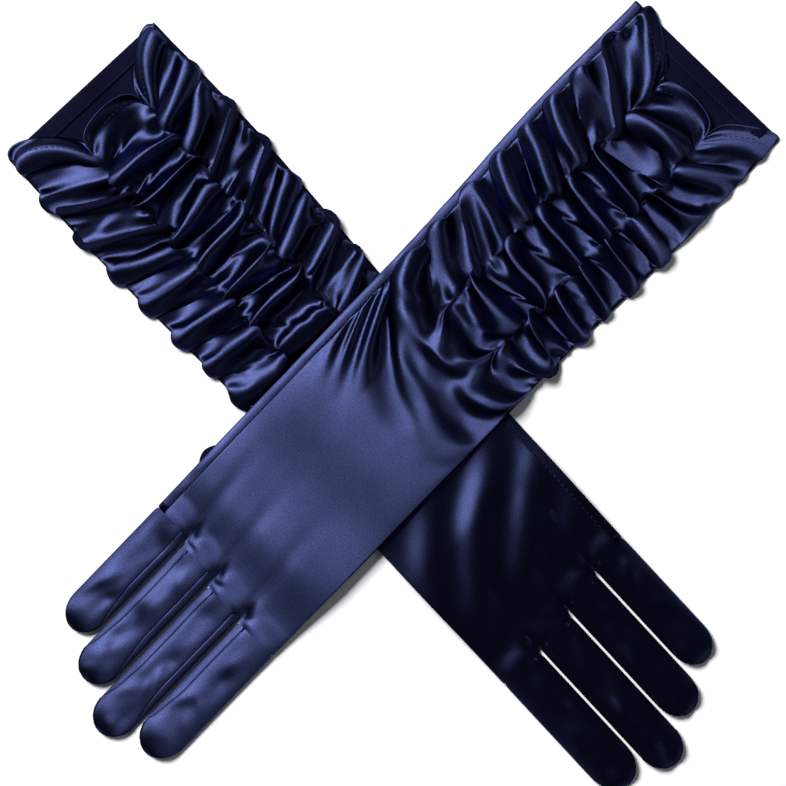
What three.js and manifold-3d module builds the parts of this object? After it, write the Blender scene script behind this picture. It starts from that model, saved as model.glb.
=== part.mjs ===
// A pair of elbow-length satin opera gloves, laid flat and crossed, the right glove on top of the left.
// Each glove is built from its cut pieces: back, palm, side seam band, turned hems, finger strips,
// fourchettes (the strips between the fingers), thumb and thumb gusset, with the two gathering elastics
// and the sewing threads. The palms face down, and each thumb is folded flat under its palm.
//
// Units are millimetres and +Z is up. A glove is drawn in its own frame: s runs from the cuff edge to
// the fingertips, v runs across it towards the thumb side, and z is the height above the table.
// The model's origin is the centre of the bottom of its box. The left glove's fingers point along +X.

import * as THREE from "three";
import { mergeVertices } from "three/addons/utils/BufferGeometryUtils.js";
import Module from "manifold-3d";

const wasm = await Module();
wasm.setup();

// ---------------------------------------------------------------- driving dimensions

const FABRIC = 0.6; // thickness of every fabric piece
const SEAM_GAP = 0.3; // clearance between two pieces that touch or are sewn together

const ARM_LENGTH = 327; // from the cuff edge to the little finger's root
const HAND_WIDTH = 87.7; // flat width across the knuckles

// Flat width at places along the glove: [share of ARM_LENGTH, share of HAND_WIDTH].
const WIDTHS = [
  [0, 1.072],
  [0.17, 1.09],
  [0.52, 1.017],
  [0.83, 1.01],
  [1, 1],
];

// Height of the hollow inside the glove, and the shares of ARM_LENGTH where it changes.
const ARM_ROOM = 9;
const HAND_ROOM = 5.2;
const FINGER_ROOM = 3.2;
const ARM_ROOM_ENDS = 0.43;
const HAND_ROOM_STARTS = 0.58;
const HAND_ROOM_ENDS = 0.92;

// The fingers in order from the little finger's side. width is a share of HAND_WIDTH. root is how far
// past ARM_LENGTH the finger folds. Every side that faces another finger has a fourchette.
const FINGERS = [
  { name: "little", width: 0.228, root: 0, length: 69, fourchettes: [1] },
  { name: "ring", width: 0.235, root: 5, length: 77, fourchettes: [-1, 1] },
  { name: "middle", width: 0.2395, root: 11, length: 84, fourchettes: [-1, 1] },
  { name: "index", width: 0.2565, root: 13, length: 74, fourchettes: [-1] },
];
const TIP_ROUNDING = 0.62; // length of a fingertip's rounding, as a share of its width
const FOURCHETTE_WIDTH = 3.6;
const FOURCHETTE_ENDS = 0.8; // as a share of the finger's length
const FOURCHETTE_TAPER = 20; // length over which a fourchette narrows
const FOURCHETTE_TIP = 2; // length cut off its point

// The thumb, folded across under the palm towards the little finger's side.
const THUMB_SETBACK = 34; // from its centre line to the little finger's root
const THUMB_WIDTH = 21;
const THUMB_FOLD = 0.285; // v of the fold at its root, as a share of HAND_WIDTH
const THUMB_PAST_EDGE = 2; // how far its tip shows past the glove's edge
const THUMB_THICKNESS = 4.6;
const THUMB_HOLE_RADIUS = 7.5;
const GUSSET_LENGTH = 17;

// Cuff. The gathering pulls the back's edge in from the palm's straight edge.
const HEM_WIDTH = 8;
const HEM_INSET = 7; // the turned hems stop this far from the glove's edges
const BAND_WIDTH = 4.2; // side seam band, along the little finger's side
const BACK_DIP = 22; // how far the back's edge is pulled in between the two elastics
const DIP_SHOULDER = 38; // width of the slope from a corner down to the dip

// Gathering elastics, sewn inside the back, and sewing threads.
const ELASTIC_WIDTH = 3;
const ELASTIC_THICKNESS = 0.5;
const ELASTIC_GAP = 0.6; // clearance under the back, whose faces are flat between their edges
const ELASTIC_ENDS = 0.505; // as a share of ARM_LENGTH
const THREAD_RADIUS = 0.25;
const STITCH_ROOM = 0.3; // clearance between a thread and the fabric under it

// How the two gloves lie. mirror is 1 for a right hand and turn is in degrees. cross is the s where the
// centre lines cross, elastics are the v of the gathering elastics, and under is the glove it lies on.
const LEFT = {
  name: "left",
  mirror: -1,
  turn: 0,
  cross: ARM_LENGTH - 121,
  elastics: [-17.5, 15.5],
  under: null,
};
const RIGHT = {
  name: "right",
  mirror: 1,
  turn: -86.8,
  cross: ARM_LENGTH - 104,
  elastics: [-11.5, 20.5],
  under: LEFT,
};
const DRAPE_CLEARANCE = 0.5; // between the left glove's top and the right glove's underside
const DRAPE_SLOPE = 34; // length of the slope where the right glove comes down off the left one
const THUMB_SLOPE = 18; // length of the slope where a palm comes down off its thumb

// Mesh steps.
const LONG_ROW = 14;
const SHORT_ROW = 5.5; // over the thumb, where the palm slopes
const CUFF_ROWS = 0.18; // the rows nearer the cuff than this share of ARM_LENGTH follow its edge
const END_ROW = 2; // length of the last row before the fingers
const BACK_COLUMNS = [-0.83, -0.7, -0.32, -0.16, 0.16, 0.3, 0.7, 0.85];
const NEAR_COLUMN = 0.06; // closest that two columns lie, as a share of the half width
const FINGER_ROWS = [0, 0.2, 0.4, 0.6, 0.72, 0.8, 0.87, 0.93, 0.97, 0.99];
const HOLE_SIDES = 20;

const SATIN = { color: 0x0b0d2a, roughness: 0.35, metalness: 0 };
const ELASTIC = { color: 0x14142c, roughness: 0.8, metalness: 0 };
const THREAD = { color: 0x11132f, roughness: 0.6, metalness: 0 };

// ---------------------------------------------------------------- shape of a glove

const smooth = (t) => {
  const c = THREE.MathUtils.clamp(t, 0, 1);
  return c * c * (3 - 2 * c);
};

// A smooth curve through [place, value] pairs.
const through = (points) => (x) => {
  if (x <= points[0][0]) return points[0][1];
  for (let i = 1; i < points.length; i++) {
    const [x0, y0] = points[i - 1];
    const [x1, y1] = points[i];
    if (x <= x1) return y0 + (y1 - y0) * smooth((x - x0) / (x1 - x0));
  }
  return points.at(-1)[1];
};

const handHalf = HAND_WIDTH / 2;
const thumbAt = ARM_LENGTH - THUMB_SETBACK;
const thumbHalf = THUMB_WIDTH / 2;
const thumbFold = THUMB_FOLD * HAND_WIDTH;

// Half the glove's flat width at s.
const half = through(WIDTHS.map(([at, width]) => [at * ARM_LENGTH, width * handHalf]));

const room = through([
  [ARM_ROOM_ENDS * ARM_LENGTH, ARM_ROOM],
  [HAND_ROOM_STARTS * ARM_LENGTH, HAND_ROOM],
  [HAND_ROOM_ENDS * ARM_LENGTH, HAND_ROOM],
  [ARM_LENGTH, FINGER_ROOM],
]);

// The two layers where they meet at an edge: palm, gap, back.
const FLAT = 2 * FABRIC + SEAM_GAP;

// Share of the hollow's height at q, from -1 to 1 across it.
const crown = (q) => Math.max(0, 1 - Math.abs(q) ** 2.2) ** 0.7;

// Rise that is full within near of its middle and gone a slope's length further out.
const plateau = (distance, near, slope) => smooth((near + slope - Math.abs(distance)) / slope);

const gussetBottom = THUMB_THICKNESS + SEAM_GAP;
const thumbRise = gussetBottom + FABRIC + SEAM_GAP;

// A point of a glove, as [s, v] of the glove that it lies on.
const onUnder = (glove, s, v) => {
  const turn = THREE.MathUtils.degToRad(glove.turn);
  const x = s - glove.cross;
  const y = glove.mirror * v;
  const underS = x * Math.cos(turn) - y * Math.sin(turn) + glove.under.cross;
  const underV = x * Math.sin(turn) + y * Math.cos(turn);
  return [underS, glove.under.mirror * underV];
};

// Height of the underside of the palm above the table.
const base = (glove, s, v) => {
  const overThumb = thumbRise * plateau(s - thumbAt, thumbHalf + 1, THUMB_SLOPE);
  if (!glove.under) return overThumb;
  const [underS, underV] = onUnder(glove, s, v);
  const overGlove = base(glove.under, underS, underV) + FLAT + room(underS) + DRAPE_CLEARANCE;
  return Math.max(overThumb, overGlove * plateau(underV, half(underS), DRAPE_SLOPE));
};

// Height of the outer face of the back above the table.
const backTop = (glove, s, v) => base(glove, s, v) + FLAT + room(s) * crown(v / half(s));

// ---------------------------------------------------------------- solids

// A closed sheet over a grid. at(i, j) gives [s, v, underside, top] for row i and column j.
function sheet(glove, rows, columns, at) {
  const points = [];
  const count = rows * columns;
  for (const side of [3, 2])
    for (let i = 0; i < rows; i++)
      for (let j = 0; j < columns; j++) {
        const corner = at(i, j);
        points.push(corner[0], glove.mirror * corner[1], corner[side]);
      }
  const faces = [];
  const quad = (a, b, c, d) => {
    if (glove.mirror > 0) faces.push(a, b, c, a, c, d);
    else faces.push(a, c, b, a, d, c);
  };
  const top = (i, j) => i * columns + j;
  const under = (i, j) => count + top(i, j);
  for (let i = 0; i < rows - 1; i++)
    for (let j = 0; j < columns - 1; j++) {
      quad(top(i, j), top(i + 1, j), top(i + 1, j + 1), top(i, j + 1));
      quad(under(i, j), under(i, j + 1), under(i + 1, j + 1), under(i + 1, j));
    }
  for (let i = 0; i < rows - 1; i++) {
    quad(top(i, 0), under(i, 0), under(i + 1, 0), top(i + 1, 0));
    quad(top(i, columns - 1), top(i + 1, columns - 1), under(i + 1, columns - 1), under(i, columns - 1));
  }
  for (let j = 0; j < columns - 1; j++) {
    quad(top(0, j), top(0, j + 1), under(0, j + 1), under(0, j));
    quad(top(rows - 1, j), under(rows - 1, j), under(rows - 1, j + 1), top(rows - 1, j + 1));
  }
  const geometry = new THREE.BufferGeometry();
  geometry.setAttribute("position", new THREE.Float32BufferAttribute(points, 3));
  geometry.setIndex(faces);
  geometry.computeVertexNormals();
  return geometry;
}

function toSolid(geometry) {
  const bare = geometry.clone();
  bare.deleteAttribute("normal");
  const merged = mergeVertices(bare, 1e-4);
  return new wasm.Manifold(
    new wasm.Mesh({
      numProp: 3,
      vertProperties: new Float32Array(merged.attributes.position.array),
      triVerts: new Uint32Array(merged.index.array),
    }),
  );
}

// A geometry with the round hole through it that the thumb opens into.
function withHole(glove, geometry, radius) {
  const v = thumbFold + GUSSET_LENGTH / 2;
  const tool = new THREE.CylinderGeometry(radius, radius, 4 * thumbRise, HOLE_SIDES);
  tool.deleteAttribute("uv");
  tool.rotateX(Math.PI / 2);
  tool.translate(thumbAt, glove.mirror * v, thumbRise);
  const cut = toSolid(geometry).subtract(toSolid(tool)).getMesh();
  const result = new THREE.BufferGeometry();
  result.setAttribute("position", new THREE.BufferAttribute(cut.vertProperties, 3));
  result.setIndex(new THREE.BufferAttribute(cut.triVerts, 1));
  result.computeVertexNormals();
  return result;
}

function piece(glove, name, geometry, look) {
  const mesh = new THREE.Mesh(geometry, new THREE.MeshStandardMaterial(look));
  mesh.name = `${glove.name}_${name}`;
  return mesh;
}

// ---------------------------------------------------------------- arm and hand

// Where each finger lies across the knuckles: [edge on the little finger's side, edge on the thumb's side].
const spacing = (HAND_WIDTH * (1 - FINGERS.reduce((sum, finger) => sum + finger.width, 0))) / 3;
const fingerEdges = [];
FINGERS.reduce((edge, finger) => {
  const end = edge + finger.width * HAND_WIDTH;
  fingerEdges.push([edge, end]);
  return end + spacing;
}, -handHalf);

// The hand stops at each finger's own root, so its end is stepped.
function handEnd(v) {
  const k = fingerEdges.slice(0, -1).filter((edges) => v > edges[1] + spacing / 2).length;
  return ARM_LENGTH + FINGERS[k].root - SEAM_GAP / 2;
}

// Columns across the hand, as shares of its half width, with a pair at each step between two fingers.
const steps = fingerEdges.slice(0, -1).flatMap((edges, k) => {
  const next = fingerEdges[k + 1];
  return [(edges[1] + SEAM_GAP) / handHalf, (next[0] - SEAM_GAP) / handHalf];
});

const columnsBetween = (low, high, curved) => {
  const apart = (q) => steps.every((step) => Math.abs(q - step) > NEAR_COLUMN);
  const inside = [...curved.filter(apart), ...steps].sort((a, b) => a - b);
  return [low, ...inside, high];
};

// Distances from the cuff edge of the rows that all the long pieces share, so that they lie alike.
const evenly = (from, to, step) => {
  const count = Math.round((to - from) / step);
  return Array.from({ length: count }, (_, i) => from + ((to - from) * i) / count);
};
const gatherEnd = ELASTIC_ENDS * ARM_LENGTH;
const handStart = thumbAt - thumbHalf - 1 - THUMB_SLOPE;
const lastRow = ARM_LENGTH - END_ROW;
const rowsAt = [
  ...evenly(0, gatherEnd, LONG_ROW),
  ...evenly(gatherEnd, handStart, LONG_ROW),
  ...evenly(handStart, lastRow, SHORT_ROW),
  lastRow,
  ARM_LENGTH,
];

// The shared rows from low to high, drawn in by half a gap where the cloth goes on in another piece.
const rowsBetween = (low, high) =>
  rowsAt
    .filter((s) => s >= low && s <= high)
    .map((s) => {
      if (s === low && low > 0) return s + SEAM_GAP / 2;
      if (s === high && high < ARM_LENGTH) return s - SEAM_GAP / 2;
      return s;
    });

// A shared row on a piece that starts and ends off the rows: the first and last few are stretched.
const stretched = (s, from, to) => {
  const cuffRows = CUFF_ROWS * ARM_LENGTH;
  if (s < cuffRows) return from + ((cuffRows - from) * s) / cuffRows;
  if (s > lastRow) return lastRow + ((to - lastRow) * (s - lastRow)) / END_ROW;
  return s;
};

// The cuff edge of the back, pulled in by the elastics.
const backStart = (v) => BACK_DIP * smooth((half(0) - Math.abs(v)) / DIP_SHOULDER);

function panel(glove, rows, columns, start, heights) {
  return sheet(glove, rows.length, columns.length, (i, j) => {
    const s = stretched(rows[i], start(columns[j] * half(0)), handEnd(columns[j] * handHalf));
    const v = columns[j] * half(s);
    return [s, v, ...heights(s, v)];
  });
}

const bandEdge = (BAND_WIDTH + SEAM_GAP) / handHalf - 1;

const backHeights = (glove) => (s, v) => {
  const top = backTop(glove, s, v);
  return [top - FABRIC, top];
};

const palmHeights = (glove) => (s, v) => {
  const low = base(glove, s, v);
  return [low, low + FABRIC];
};

// The back is one cut piece of cloth. It is three solids here: the gathered arm, the wrist and the hand.
function backs(glove) {
  const columns = columnsBetween(bandEdge, 1, BACK_COLUMNS);
  const part = (name, low, high) => {
    const geometry = panel(glove, rowsBetween(low, high), columns, backStart, backHeights(glove));
    return piece(glove, name, geometry, SATIN);
  };
  return [
    part("back_arm", 0, gatherEnd),
    part("back_wrist", gatherEnd, handStart),
    part("back_hand", handStart, ARM_LENGTH),
  ];
}

// The palm side is one cut piece too. It is two solids: the arm, and the hand with its thumb hole.
function palms(glove) {
  const columns = columnsBetween(-1, 1, []);
  const part = (low, high) => panel(glove, rowsBetween(low, high), columns, () => 0, palmHeights(glove));
  const hand = withHole(glove, part(handStart, ARM_LENGTH), THUMB_HOLE_RADIUS);
  return [
    piece(glove, "palm_arm", part(0, handStart), SATIN),
    piece(glove, "palm_hand", hand, SATIN),
  ];
}

// The strip between the side seam and the glove's edge, on the back.
function seamBand(glove) {
  return sheet(glove, rowsAt.length, 2, (i, j) => {
    const s = stretched(rowsAt[i], 0, ARM_LENGTH - SEAM_GAP / 2);
    const v = j === 0 ? -half(s) : half(s) * bandEdge - SEAM_GAP;
    return [s, v, ...backHeights(glove)(s, v)];
  });
}

// ---------------------------------------------------------------- hems, elastics, threads

function hem(glove, start, heights) {
  const columns = 13;
  const reach = half(0) - HEM_INSET;
  return sheet(glove, 2, columns, (i, j) => {
    const v = -reach + (2 * reach * j) / (columns - 1);
    const s = start(v) + 0.5 + i * HEM_WIDTH;
    return [s, v, ...heights(s, v)];
  });
}

const insideBack = (glove, gap, thickness) => (s, v) => {
  const roof = backTop(glove, s, v) - FABRIC - gap;
  return [roof - thickness, roof];
};

const insidePalm = (glove) => (s, v) => {
  const floor = base(glove, s, v) + FABRIC + SEAM_GAP;
  return [floor, floor + FABRIC];
};

function elastic(glove, v) {
  const start = backStart(v) + HEM_WIDTH + 2;
  const places = [start, ...rowsAt.filter((s) => s > start && s <= gatherEnd)];
  const heights = insideBack(glove, ELASTIC_GAP, ELASTIC_THICKNESS);
  return sheet(glove, places.length, 2, (i, j) => {
    const side = v + (j - 0.5) * ELASTIC_WIDTH;
    return [places[i], side, ...heights(places[i], side)];
  });
}

function seamThread(glove) {
  return sheet(glove, rowsAt.length, 2, (i, j) => {
    const s = stretched(rowsAt[i], 1, ARM_LENGTH - 1);
    const v = half(s) * bandEdge - SEAM_GAP / 2;
    const z = backTop(glove, s, v + THREAD_RADIUS) + STITCH_ROOM;
    return [s, v + (2 * j - 1) * THREAD_RADIUS, z, z + 2 * THREAD_RADIUS];
  });
}

// A row of stitches near the inner edge of a hem. It runs across the glove.
function hemThread(glove, start, height) {
  const count = 13;
  const reach = half(0) - HEM_INSET - 2;
  return sheet(glove, 2, count, (i, j) => {
    const v = -reach + (2 * reach * j) / (count - 1);
    const s = start(v) + HEM_WIDTH - 1.5 + (2 * i - 1) * THREAD_RADIUS;
    const z = height(s, v);
    return [s, v, z, z + 2 * THREAD_RADIUS];
  });
}

function trim(glove) {
  const elasticNames = ["elastic_little_side", "elastic_thumb_side"];
  const overPalmHem = (s, v) => insidePalm(glove)(s, v)[1] + STITCH_ROOM;
  const overBack = (s, v) => backTop(glove, s, v) + STITCH_ROOM;
  return [
    piece(glove, "back_hem", hem(glove, backStart, insideBack(glove, SEAM_GAP, FABRIC)), SATIN),
    piece(glove, "palm_hem", hem(glove, () => 0, insidePalm(glove)), SATIN),
    ...elasticNames.map((name, k) => piece(glove, name, elastic(glove, glove.elastics[k]), ELASTIC)),
    piece(glove, "side_seam_thread", seamThread(glove), THREAD),
    piece(glove, "back_hem_thread", hemThread(glove, backStart, overBack), THREAD),
    piece(glove, "palm_hem_thread", hemThread(glove, () => 0, overPalmHem), THREAD),
  ];
}

// ---------------------------------------------------------------- fingers

// Half width of a stall of that width and length, at distance s from its root.
const stallHalf = (s, width, length) => {
  const rounding = TIP_ROUNDING * width;
  const into = Math.max(0, (s - (length - rounding)) / rounding);
  return (width / 2) * Math.sqrt(Math.max(0, 1 - into * into));
};

// Top of a stall at w across it: two flat layers with a hollow between that closes at the tip.
const stallTop = (s, w, width, length, thickness) => {
  const closing = stallHalf(s, width, length) / (width / 2);
  const across = Math.abs(w) / (width / 2);
  return FLAT + (thickness - FLAT) * closing * Math.max(0, 1 - across ** 3) ** 0.8;
};

// The strips of one finger. Its side is -1 towards the little finger and 1 towards the thumb.
function finger(glove, spec, edges) {
  const { length, fourchettes } = spec;
  const root = ARM_LENGTH + spec.root;
  const width = edges[1] - edges[0];
  const middle = (edges[0] + edges[1]) / 2;
  const fourchetteRows = FINGER_ROWS.filter((share) => share <= FOURCHETTE_ENDS);
  const along = (i) => SEAM_GAP / 2 + FINGER_ROWS[i] * (length - SEAM_GAP / 2);
  const edge = (i) => stallHalf(along(i), width, length);
  const stripWidth = (i) => {
    const left = (FOURCHETTE_ENDS - FINGER_ROWS[i]) * length + FOURCHETTE_TIP;
    return FOURCHETTE_WIDTH * Math.min(1, left / FOURCHETTE_TAPER) ** 0.5;
  };
  const top = (s, w) => stallTop(s, w, width, length, FLAT + FINGER_ROOM);
  const outside = (i, w) => {
    const z = top(along(i), w);
    return [root + along(i), middle + w, z - FABRIC, z];
  };

  const backEdge = (i, side) => {
    const beside = fourchettes.includes(side) && i < fourchetteRows.length;
    return side * (edge(i) - (beside ? stripWidth(i) + SEAM_GAP / 2 : 0));
  };
  const back = sheet(glove, FINGER_ROWS.length, 5, (i, j) => {
    const low = backEdge(i, -1);
    return outside(i, low + ((backEdge(i, 1) - low) * j) / 4);
  });

  const palm = sheet(glove, FINGER_ROWS.length, 3, (i, j) => [
    root + along(i),
    middle + (j - 1) * edge(i),
    0,
    FABRIC,
  ]);

  const fourchette = (side) =>
    sheet(glove, fourchetteRows.length, 3, (i, j) => {
      const share = side > 0 ? 1 - j / 2 : j / 2;
      return outside(i, side * (edge(i) - share * (stripWidth(i) - SEAM_GAP / 2)));
    });

  return [
    piece(glove, `${spec.name}_back`, back, SATIN),
    piece(glove, `${spec.name}_palm`, palm, SATIN),
    ...fourchettes.map((side) => {
      const facing = side > 0 ? "thumb_side" : "little_side";
      return piece(glove, `${spec.name}_fourchette_${facing}`, fourchette(side), SATIN);
    }),
  ];
}

// ---------------------------------------------------------------- thumb

// The thumb runs from its fold towards the little finger's side, so its length lies along -v.
function thumb(glove) {
  const reach = thumbFold + half(thumbAt) + THUMB_PAST_EDGE;
  const last = FINGER_ROWS.length - 1;
  const layer = (heights) =>
    sheet(glove, 5, FINGER_ROWS.length, (i, j) => {
      const length = SEAM_GAP + FINGER_ROWS[last - j] * (reach - SEAM_GAP);
      const w = (i / 2 - 1) * stallHalf(length, THUMB_WIDTH, reach);
      return [thumbAt + w, thumbFold - length, ...heights(length, w)];
    });
  const upper = layer((length, w) => {
    const top = stallTop(length, w, THUMB_WIDTH, reach, THUMB_THICKNESS);
    return [top - FABRIC, top];
  });
  const lower = layer(() => [0, FABRIC]);
  return [piece(glove, "thumb_upper", upper, SATIN), piece(glove, "thumb_lower", lower, SATIN)];
}

// The gusset is sewn round the thumb hole, between the palm and the thumb's root.
function gusset(glove) {
  const flat = sheet(glove, 3, 3, (i, j) => [
    thumbAt + (i - 1) * (thumbHalf - 1),
    thumbFold + (GUSSET_LENGTH * j) / 2,
    gussetBottom,
    gussetBottom + FABRIC,
  ]);
  return piece(glove, "thumb_gusset", withHole(glove, flat, THUMB_HOLE_RADIUS - SEAM_GAP), SATIN);
}

// ---------------------------------------------------------------- the pair

// A glove with the crossing point at its group's origin.
function buildGlove(glove) {
  const pieces = new THREE.Group();
  pieces.add(
    ...backs(glove),
    ...palms(glove),
    piece(glove, "side_seam_band", seamBand(glove), SATIN),
    ...trim(glove),
    ...FINGERS.flatMap((spec, k) => finger(glove, spec, fingerEdges[k])),
    ...thumb(glove),
    gusset(glove),
  );
  pieces.position.x = -glove.cross;
  const turned = new THREE.Group();
  turned.add(pieces);
  turned.rotation.z = THREE.MathUtils.degToRad(glove.turn);
  return turned;
}

const pair = new THREE.Group();
pair.add(buildGlove(LEFT), buildGlove(RIGHT));

// The origin goes to the centre of the bottom of the pair's box.
const box = new THREE.Box3().setFromObject(pair);
const centre = box.getCenter(new THREE.Vector3());
pair.position.set(-centre.x, -centre.y, -box.min.z);

export default pair;
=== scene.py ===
import math
import bpy
import numpy as np
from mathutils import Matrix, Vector


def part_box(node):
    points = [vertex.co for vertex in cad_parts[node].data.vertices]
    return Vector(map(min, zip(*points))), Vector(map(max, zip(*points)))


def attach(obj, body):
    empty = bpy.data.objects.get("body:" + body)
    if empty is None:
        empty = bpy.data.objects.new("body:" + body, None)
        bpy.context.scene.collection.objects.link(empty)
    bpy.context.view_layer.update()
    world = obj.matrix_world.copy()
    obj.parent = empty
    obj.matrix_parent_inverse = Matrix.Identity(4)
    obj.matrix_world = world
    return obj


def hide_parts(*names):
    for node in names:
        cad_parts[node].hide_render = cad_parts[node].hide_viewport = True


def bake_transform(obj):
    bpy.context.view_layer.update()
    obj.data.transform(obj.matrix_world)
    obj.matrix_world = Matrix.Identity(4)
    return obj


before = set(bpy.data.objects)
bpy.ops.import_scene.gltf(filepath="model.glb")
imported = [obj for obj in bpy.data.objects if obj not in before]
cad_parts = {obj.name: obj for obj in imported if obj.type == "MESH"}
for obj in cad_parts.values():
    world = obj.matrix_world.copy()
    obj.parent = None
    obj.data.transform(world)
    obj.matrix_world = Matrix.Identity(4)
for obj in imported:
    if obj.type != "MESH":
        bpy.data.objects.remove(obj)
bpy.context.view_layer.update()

# A pair of ruched satin opera gloves lying crossed, the right glove on the left one. A glove is drawn in
# its own frame, in millimetres: s runs from the cuff edge to the fingertips, v across it towards the
# thumb side, and z up. The gathered part of each back is a net of points, settled by relax().

# ---------------------------------------------------------------- dimensions, as in the CAD source
ARM_LENGTH = 327.0  # from the cuff edge to the little finger's root
HAND_HALF = 43.85  # half the width across the knuckles
CUFF_HALF = 47.0  # half the width at the cuff edge
FABRIC = 0.6
SEAM_GAP = 0.3
FLAT = 2 * FABRIC + SEAM_GAP  # height of two layers lying on each other
BAND_WIDTH = 4.2
BACK_DIP = 22.0  # how far the back's edge is pulled in between the two elastics
GATHER_END = 165.1  # s where the elastics end
THUMB_AT = 293.0  # s of the thumb's centre line
THUMB_WIDTH = 21.0
THUMB_FOLD = 24.99  # v of the fold at its root
HOLE_AT = 33.5  # v of the thumb hole's centre
HOLE_RADIUS = 7.5
HEM_INSET = 7.0
FOURCHETTE = 3.6
TIP_ROUNDING = 0.62  # length of a fingertip's rounding, as a share of its width
FINGERS = [  # name, low v, high v, root past ARM_LENGTH, length, sides with a fourchette
    ("little", -43.85, -23.85, 0, 69, (1,)),
    ("ring", -22.66, -2.05, 5, 77, (-1, 1)),
    ("middle", -0.85, 20.16, 11, 84, (-1, 1)),
    ("index", 21.35, 43.85, 13, 74, (-1,)),
]
STEPS = [-23.25, -1.45, 20.75]  # v between two fingers

# ---------------------------------------------------------------- dimensions of the cloth
FINGER_TOP = 4.7  # height of a finger's crown above its underside
FOLD_LENGTH = 9.0  # length over which a finger's cloth bends at its root
THUMB_TOP = 3.4  # height of a thumb's crown, lower than the CAD's so that the gusset clears it
THUMB_SHOWS = 2.0  # how far the upper glove's thumb reaches past the edge
THUMB_HIDES = 1.5  # how far the lower glove's thumb stops short of the edge
THUMB_RISE = 5.0  # how far the palm is lifted by the thumb folded under it
THUMB_RISE_SPREAD = 33.0
LOWEST = 0.95  # lowest that the upper layer lies above the underside
PRESSED = 0.55  # share of the lower glove's hollow that is left where the upper one lies on it
DRAPE_GAP = 0.6  # between the lower glove's top and the upper glove's underside
SMOOTH_FROM = 262.0  # s where the settled net ends
FULLNESS = 1.52  # flat length of the gathered back, as a share of its gathered length
ACROSS_FULLNESS = 1.06  # flat width of the back, as a share of its width
STEP = 1.6  # spacing of the net's points
CEILING = 2.4  # height that folds may reach at the edges
CEILING_RISE = 7.2  # and how much higher in the middle


def smooth(t):
    """An even step from 0 to 1."""
    t = np.clip(t, 0, 1)
    return t * t * (3 - 2 * t)


def through(points):
    """A function of s that runs smoothly through (s, value) points."""
    def at(x):
        x = np.asarray(x, float)
        y = np.full(x.shape, float(points[0][1]))
        for (x0, y0), (x1, y1) in zip(points, points[1:]):
            y = np.where(x > x0, y0 + (y1 - y0) * smooth((x - x0) / (x1 - x0)), y)
        return y
    return at


half = through([(0, CUFF_HALF), (55.6, 47.8), (170, 44.6), (271.4, 44.29), (327, 43.85)])
room = through([(140.6, 9), (189.7, 5.2), (300.8, 5.2), (327, 3.2)])


def crown(q):
    """How full a glove is at the share q of its half width."""
    return np.clip(1 - np.abs(q) ** 2.2, 0, None) ** 0.7


def plateau(d, near, slope):
    """1 within near of a line and 0 past the slope beside it."""
    return smooth((near + slope - np.abs(d)) / slope)


def thumb_rise(s):
    return THUMB_RISE * np.exp(-(((s - THUMB_AT) / THUMB_RISE_SPREAD) ** 2))


LEFT_CROSS = 206.0  # s where the right glove's centre line crosses the left glove's
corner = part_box("left_palm_arm")
ORIGIN = (corner[0].x * 1000 + LEFT_CROSS, (corner[0].y + corner[1].y) * 500)


class Glove:
    """How one glove lies. mirror is 1 for a right hand, cross is the s where the centre lines cross, and
    lines are the v of the two gathering lines. The lines gather less cloth than the edges do, by FULLNESS
    times lag. pitch is the length of cloth in one fold, in each of the three bands that the lines make."""

    def __init__(self, name, mirror, turn, cross, lines, lag, pitch, seed, under=None):
        self.name, self.mirror, self.cross = name, mirror, cross
        self.lines, self.lag, self.pitch = lines, lag, pitch
        self.c, self.s = math.cos(math.radians(turn)), math.sin(math.radians(turn))
        self.seed, self.under = seed, under

    def world(self, p):
        """Points (s, v, z) in mm as world points in metres."""
        x, y = p[..., 0] - self.cross, self.mirror * p[..., 1]
        return np.stack([
            (x * self.c - y * self.s + ORIGIN[0]) / 1000,
            (x * self.s + y * self.c + ORIGIN[1]) / 1000,
            p[..., 2] / 1000,
        ], -1)

    def base(self, s, v):
        """Underside of the palm above the table."""
        rise = thumb_rise(s)
        if self.under is None:
            return rise
        x, y = s - self.cross, self.mirror * v
        us = x * self.c - y * self.s + self.under.cross
        uv = self.under.mirror * (x * self.s + y * self.c)
        over = self.under.base(us, uv) + FLAT + PRESSED * room(us) + DRAPE_GAP
        return np.hypot(rise, over * plateau(uv, 8, 92))


LEFT = Glove("left", -1, 0, LEFT_CROSS, (-17.5, 15.5), 10.0, (20, 24, 20), 5)
RIGHT = Glove("right", 1, -86.8, 223, (-11.5, 20.5), 20.0, (17, 24, 23), 3, LEFT)

# ---------------------------------------------------------------- materials


def nodes_of(name):
    """A new material, its node tree and its shader."""
    mat = bpy.data.materials.new(name)
    mat.use_nodes = True
    tree = mat.node_tree
    shader = tree.nodes["Principled BSDF"]
    return mat, tree, shader


def link(tree, a, out, b, inp):
    tree.links.new(a.outputs[out], b.inputs[inp])


CLOUD_SCALE = 40.0  # of the slow drift of colour
GRAIN_SCALE = 1300.0  # of the fine grain
GRAIN = 0.3  # how much the grain lightens and darkens the cloth


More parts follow.
